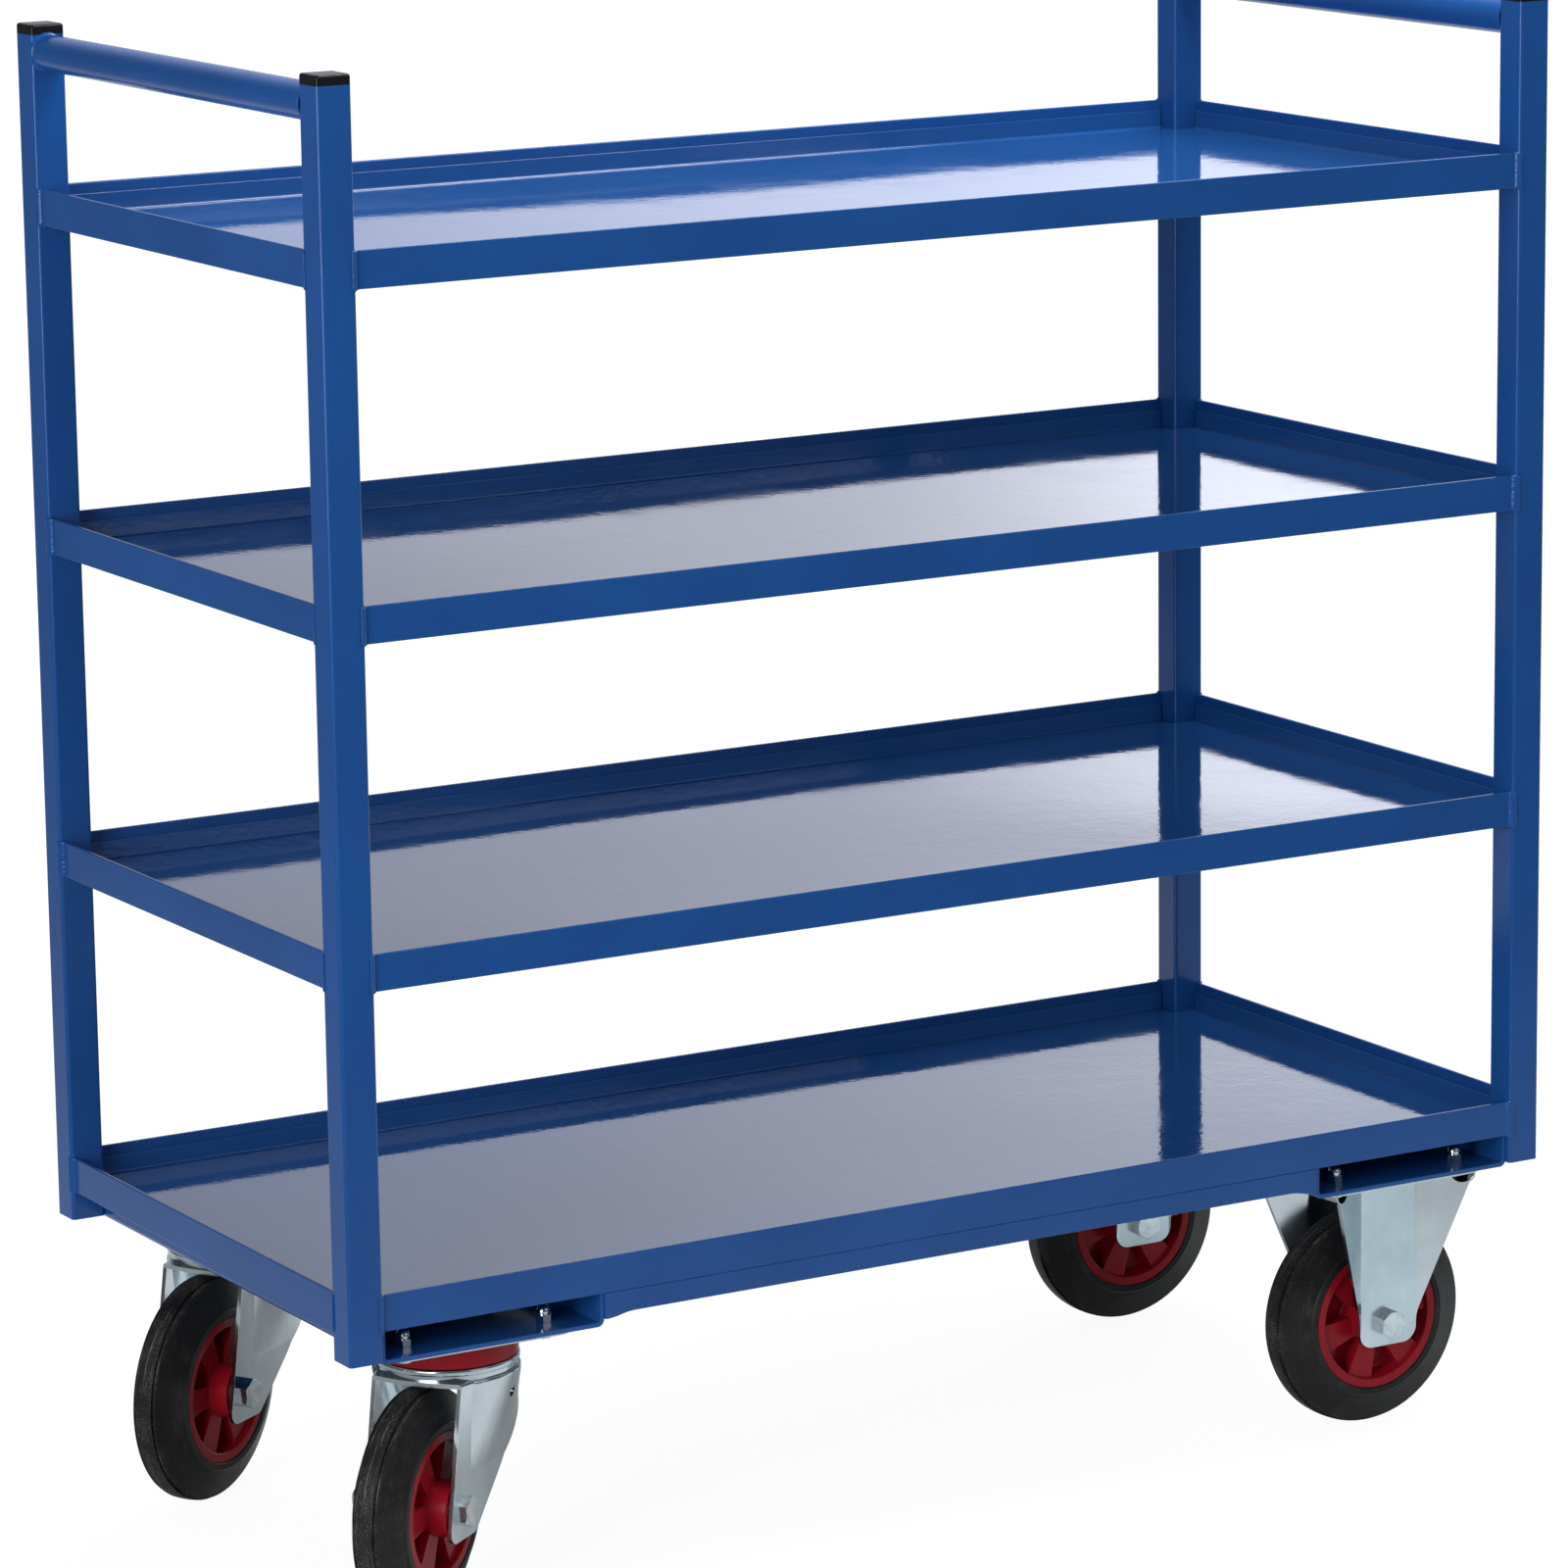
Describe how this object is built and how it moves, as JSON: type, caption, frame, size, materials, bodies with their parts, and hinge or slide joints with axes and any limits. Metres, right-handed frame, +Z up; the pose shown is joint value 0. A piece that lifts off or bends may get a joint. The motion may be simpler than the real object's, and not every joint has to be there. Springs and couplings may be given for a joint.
{
  "type": "shelf trolley",
  "caption": "Welded steel shelf trolley with folded trays in angle-rail rims on square uprights, a round push bar at each end, and swivel and fixed castors below.",
  "frame": {"origin": "on the floor below the middle of the frame", "axes": "+X along the length towards the fixed castors, +Y away from the front, +Z up"},
  "size_m": [0.9659, 0.4679, 1.036],
  "materials": {
    "blue_frame": "gloss powder coat, blue",
    "blue_tray": "smooth high-gloss powder coat, blue",
    "black_plastic": "satin moulded plastic, black",
    "red_plastic": "glossy moulded plastic, red",
    "tyre": "solid rubber, black, satin",
    "zinc_sheet": "bright bluish zinc plate on pressed steel",
    "zinc_fastener": "bright zinc plate",
    "bright_nut": "polished plated dome",
    "steel": "ground steel"
  },
  "bodies": {
    "frame": {"castor_bolts": "zinc_fastener", "castor_cap_nuts": "bright_nut", "castor_channel_left": "blue_frame", "castor_channel_right": "blue_frame", "dust_ring_back": "red_plastic", "dust_ring_front": "red_plastic", "end_rails_1": "blue_frame", "end_rails_2": "blue_frame", "end_rails_3": "blue_frame", "end_rails_4": "blue_frame", "fixed_axle_bolts": "zinc_fastener", "fixed_axle_nuts": "zinc_fastener", "fixed_axle_sleeves": "steel", "fixed_bracket_back": "zinc_sheet", "fixed_bracket_front": "zinc_sheet", "handle_left": "blue_frame", "handle_right": "blue_frame", "kingpin_back": "zinc_fastener", "kingpin_front": "zinc_fastener", "long_rails_1": "blue_frame", "long_rails_2": "blue_frame", "long_rails_3": "blue_frame", "long_rails_4": "blue_frame", "stiffener_back": "blue_frame", "stiffener_front": "blue_frame", "swivel_plate_back": "zinc_sheet", "swivel_plate_front": "zinc_sheet", "tray_1": "blue_tray", "tray_2": "blue_tray", "tray_3": "blue_tray", "tray_4": "blue_tray", "upright_back_left": "blue_frame", "upright_back_right": "blue_frame", "upright_caps": "black_plastic", "upright_front_left": "blue_frame", "upright_front_right": "blue_frame"},
    "swivel_front": {"swivel_fork_front": "zinc_sheet", "swivel_bearing_front": "steel", "swivel_axle_bolt_front": "zinc_fastener", "swivel_axle_nut_front": "zinc_fastener", "swivel_axle_sleeve_front": "steel"},
    "swivel_back": {"swivel_fork_back": "zinc_sheet", "swivel_bearing_back": "steel", "swivel_axle_bolt_back": "zinc_fastener", "swivel_axle_nut_back": "zinc_fastener", "swivel_axle_sleeve_back": "steel"},
    "wheel_front_left": {"tyre_front_left": "tyre", "wheel_centre_front_left": "red_plastic", "roller_bearing_front_left": "steel"},
    "wheel_front_right": {"tyre_front_right": "tyre", "wheel_centre_front_right": "red_plastic", "roller_bearing_front_right": "steel"},
    "wheel_back_left": {"tyre_back_left": "tyre", "wheel_centre_back_left": "red_plastic", "roller_bearing_back_left": "steel"},
    "wheel_back_right": {"tyre_back_right": "tyre", "wheel_centre_back_right": "red_plastic", "roller_bearing_back_right": "steel"}
  },
  "joints": [
    {"name": "swivel_front_turn", "type": "hinge", "parent": "frame", "child": "swivel_front", "pos_m": [-0.374, -0.159, 0.171], "axis": [0, 0, 1], "continuous": true},
    {"name": "swivel_back_turn", "type": "hinge", "parent": "frame", "child": "swivel_back", "pos_m": [-0.374, 0.159, 0.171], "axis": [0, 0, 1], "continuous": true},
    {"name": "wheel_front_left_spin", "type": "hinge", "parent": "swivel_front", "child": "wheel_front_left", "pos_m": [-0.41283, -0.18721, 0.08], "axis": [0.5878, -0.809, 0], "continuous": true},
    {"name": "wheel_back_left_spin", "type": "hinge", "parent": "swivel_back", "child": "wheel_back_left", "pos_m": [-0.41471, 0.13356, 0.08], "axis": [0.5299, -0.848, 0], "continuous": true},
    {"name": "wheel_front_right_spin", "type": "hinge", "parent": "frame", "child": "wheel_front_right", "pos_m": [0.374, -0.159, 0.08], "axis": [0, -1, 0], "continuous": true},
    {"name": "wheel_back_right_spin", "type": "hinge", "parent": "frame", "child": "wheel_back_right", "pos_m": [0.374, 0.159, 0.08], "axis": [0, -1, 0], "continuous": true}
  ]
}
